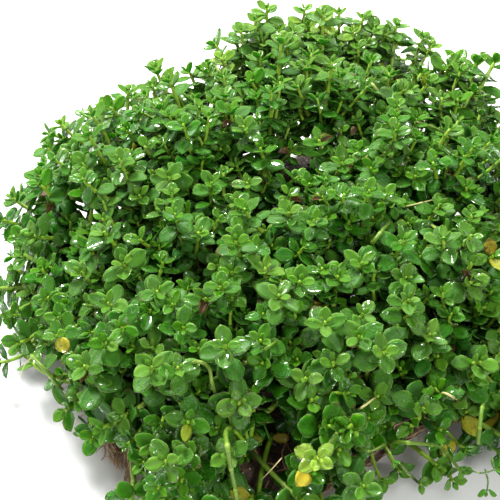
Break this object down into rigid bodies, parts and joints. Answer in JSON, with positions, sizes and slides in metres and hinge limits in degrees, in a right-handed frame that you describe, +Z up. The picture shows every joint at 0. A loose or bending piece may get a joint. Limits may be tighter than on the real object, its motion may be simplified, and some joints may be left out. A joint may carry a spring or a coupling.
{
  "type": "pearlweed clump",
  "caption": "Low cushion of small round-leaved pearlweed shoots, grown out of water, on a ragged mat of soil and roots that rests flat.",
  "frame": {"origin": "centre of the clump's bounding box, at the level of the root mat's flat underside", "axes": "+Z up, -Y towards the clump's front, where the root mat's near corner lies, +X to the right as seen from the front"},
  "size_m": [0.128, 0.1256, 0.0535],
  "materials": {
    "plant": "living leaf and stem, moist, satin with small wet glints, fresh green",
    "root_mat": "damp dark brown soil bound by tan and brown root fibres, matt and ragged"
  },
  "bodies": {
    "root": {"root_mat": "root_mat", "sprig_01": "plant", "sprig_02": "plant", "sprig_03": "plant", "sprig_04": "plant", "sprig_05": "plant", "sprig_06": "plant", "sprig_07": "plant", "sprig_08": "plant", "sprig_09": "plant", "sprig_10": "plant", "sprig_11": "plant", "sprig_12": "plant", "sprig_13": "plant", "sprig_14": "plant", "sprig_15": "plant", "sprig_16": "plant", "sprig_17": "plant", "sprig_18": "plant", "sprig_19": "plant", "sprig_20": "plant", "sprig_21": "plant", "sprig_22": "plant", "sprig_23": "plant", "sprig_24": "plant", "sprig_25": "plant", "sprig_26": "plant", "sprig_27": "plant", "sprig_28": "plant", "sprig_29": "plant", "sprig_30": "plant", "sprig_31": "plant", "sprig_32": "plant", "sprig_33": "plant", "sprig_34": "plant", "sprig_35": "plant", "sprig_36": "plant", "sprig_37": "plant", "sprig_38": "plant", "sprig_39": "plant", "sprig_40": "plant", "sprig_41": "plant", "sprig_42": "plant", "sprig_43": "plant", "sprig_44": "plant", "sprig_45": "plant", "sprig_46": "plant", "sprig_47": "plant", "sprig_48": "plant", "sprig_49": "plant", "sprig_50": "plant", "sprig_51": "plant", "sprig_52": "plant", "sprig_53": "plant", "sprig_54": "plant", "sprig_55": "plant", "sprig_56": "plant"}
  },
  "joints": []
}
